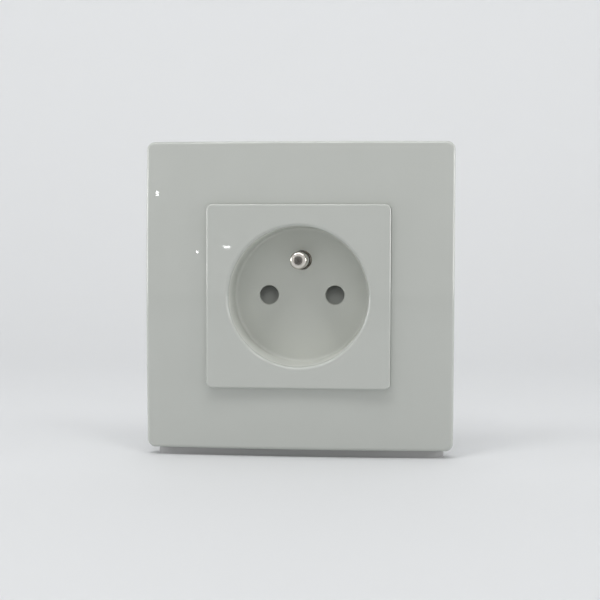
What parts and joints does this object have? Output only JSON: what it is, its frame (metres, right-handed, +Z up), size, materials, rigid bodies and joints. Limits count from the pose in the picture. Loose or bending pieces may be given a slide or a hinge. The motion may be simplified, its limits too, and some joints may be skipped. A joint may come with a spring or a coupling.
{
  "type": "french wall socket",
  "caption": "Square flush wall socket with a round plug well, shuttered round pin holes, a round earth pin and rear terminals.",
  "frame": {"origin": "point of the wall plane on the axis of the plug well, midway between the box screws", "axes": "+Z up, -Y out of the wall towards the room, +X to the right as seen from the room"},
  "size_m": [0.086, 0.0401, 0.086],
  "materials": {
    "pale_plastic": "glossy moulded pale grey-white plastic",
    "shutter_plastic": "moulded pale plastic, slightly duller",
    "inner_plastic": "plain moulded off-white plastic",
    "base_plastic": "matt moulded off-white plastic",
    "zinc_steel": "zinc-plated pressed steel",
    "screw_steel": "zinc-plated screw steel",
    "spring_steel": "bright spring wire and strip",
    "bronze": "phosphor bronze strip",
    "brass_strip": "bright brass strip",
    "nickel": "polished nickel plating on brass"
  },
  "bodies": {
    "socket": {"cover_frame": "pale_plastic", "socket_cover": "pale_plastic", "shutter_guide": "inner_plastic", "base_housing": "base_plastic", "mounting_plate": "zinc_steel", "earth_pin": "nickel", "shutter_spring": "spring_steel", "live_contact": "bronze", "neutral_contact": "bronze", "live_grip_spring": "spring_steel", "neutral_grip_spring": "spring_steel", "earth_strap": "brass_strip", "earth_bond_strap": "brass_strip", "bond_rivet": "zinc_steel", "plate_rivets": "zinc_steel", "cover_screws": "screw_steel", "live_terminal_cage": "zinc_steel", "neutral_terminal_cage": "zinc_steel", "earth_terminal_cage": "zinc_steel", "live_terminal_screw": "screw_steel", "neutral_terminal_screw": "screw_steel", "earth_terminal_screw": "screw_steel"},
    "shutter": {"shutter_slide": "shutter_plastic"}
  },
  "joints": [
    {"name": "shutter_travel", "type": "slide", "parent": "socket", "child": "shutter", "axis": [0, 0, -1], "range_m": [0, 0.0064], "stiffness_N_per_m": 100, "springref_m": -0.003, "deforming": ["shutter_spring"]}
  ]
}
